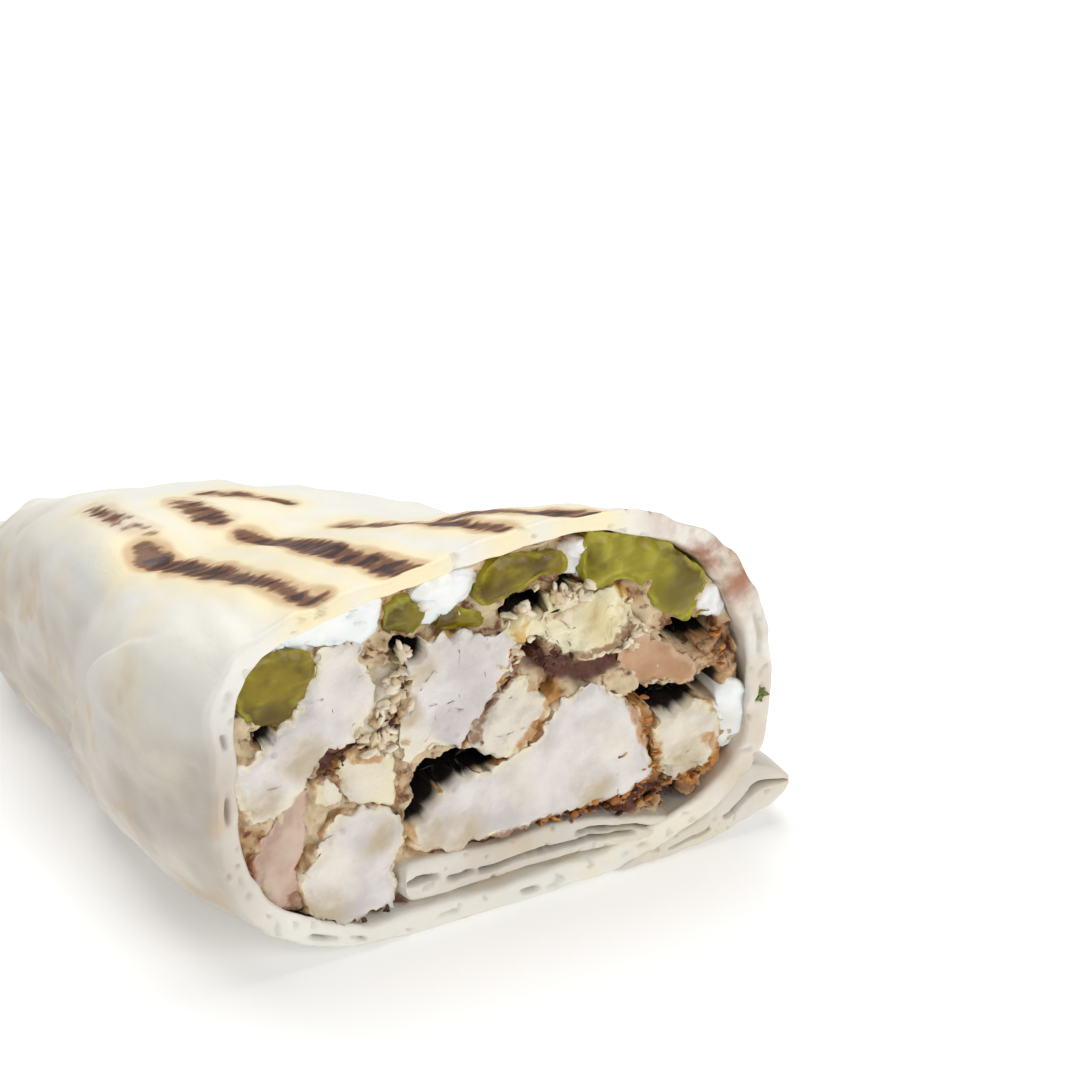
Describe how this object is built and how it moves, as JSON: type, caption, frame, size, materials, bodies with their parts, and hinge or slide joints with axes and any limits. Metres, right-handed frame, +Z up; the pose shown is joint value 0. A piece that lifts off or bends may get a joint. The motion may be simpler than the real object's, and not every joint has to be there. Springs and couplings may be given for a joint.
{
  "type": "gyro_wrap_half",
  "caption": "Cut half of a grilled chicken gyro wrap: rolled flatbread round roast chicken pieces, pickles and garlic sauce, with the cut facing the viewer and the far end tucked in.",
  "frame": {"origin": "middle of the part's box, on the surface that it rests on", "axes": "+Z up; the cut faces -Y and the roll runs back to the tucked end at +Y; +X to the right when the cut is looked at"},
  "size_m": [0.0808, 0.093, 0.0496],
  "materials": {
    "flatbread": "matt, creamy flatbread with browned grill stripes and a floury bloom",
    "packed_filling": "matt chopped roast chicken with sauce",
    "chicken": "moist, fibrous cut meat with a browned, spiced outside",
    "pickle": "wet, glossy, slightly clear olive green",
    "garlic_sauce": "glossy, thick and white"
  },
  "bodies": {
    "root": {"flatbread": "flatbread", "packed_filling": "packed_filling", "chicken_long_slab": "chicken", "chicken_crumbly": "chicken", "chicken_centre_block": "chicken", "chicken_centre_shred": "chicken", "chicken_large_slab": "chicken", "chicken_right_lump": "chicken", "chicken_tan_block": "chicken", "chicken_browned_shred": "chicken", "chicken_flaked": "chicken", "chicken_dark_scrap": "chicken", "chicken_pale_lump": "chicken", "chicken_round_chunk": "chicken", "chicken_pink_strip": "chicken", "chicken_finger": "chicken", "chicken_sliver": "chicken", "chicken_bottom_scraps": "chicken", "pickle_left_wedge": "pickle", "pickle_small_wedge": "pickle", "pickle_half_slice": "pickle", "pickle_round_slice": "pickle", "pickle_tucked_slice": "pickle", "pickle_big_slice": "pickle", "pickle_end_bit": "pickle", "garlic_sauce_left": "garlic_sauce", "garlic_sauce_middle": "garlic_sauce", "garlic_sauce_right": "garlic_sauce"}
  },
  "joints": []
}
